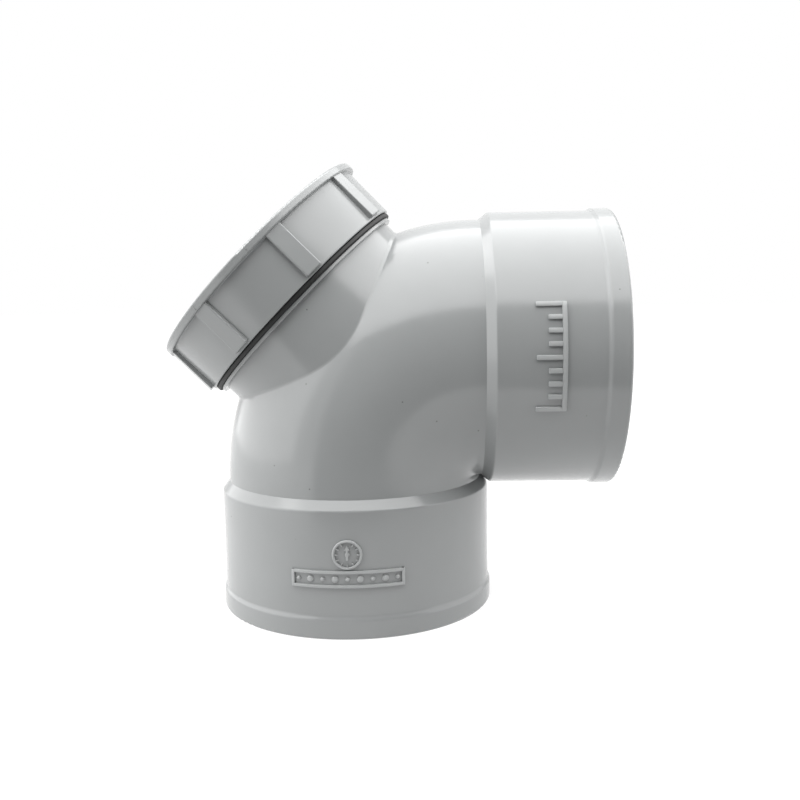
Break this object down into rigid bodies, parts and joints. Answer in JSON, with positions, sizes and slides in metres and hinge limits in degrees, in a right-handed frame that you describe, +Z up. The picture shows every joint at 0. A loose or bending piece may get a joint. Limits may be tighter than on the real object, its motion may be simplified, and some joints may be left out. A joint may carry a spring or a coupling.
{
  "type": "pipe inspection bend",
  "caption": "Tight right-angle PVC-U drain bend with two plain solvent-weld sockets and a ribbed screw cap over an inspection neck.",
  "frame": {"origin": "centre of the lower socket's mouth, which the fitting stands on", "axes": "+Z up the lower socket's axis, +X along the side socket's axis and out of its mouth, the inspection neck points up and back between +Z and -X"},
  "size_m": [0.1579, 0.0984, 0.1579],
  "materials": {
    "grey_pvc": "glossy injection-moulded PVC-U, light neutral grey",
    "cap_pvc": "glossy injection-moulded PVC-U, the same grey, a trace more satin",
    "black_rubber": "matt black moulded rubber"
  },
  "bodies": {
    "elbow": {"elbow_moulding": "grey_pvc"},
    "ring": {"sealing_ring": "black_rubber"},
    "cap": {"screw_cap": "cap_pvc"}
  },
  "joints": [
    {"name": "cap_turn", "type": "hinge", "parent": "elbow", "child": "ring", "pos_m": [0, 0, 0.0916], "axis": [-0.7071, 0, 0.7071], "range_deg": [0, 1440]},
    {"name": "cap_lift", "type": "slide", "parent": "ring", "child": "cap", "axis": [-0.7071, 0, 0.7071], "range_m": [0, 0.02001]}
  ],
  "couplings": [
    {"joint": "cap_lift", "follows": "cap_turn", "m_per_rad": 0.00079577}
  ]
}
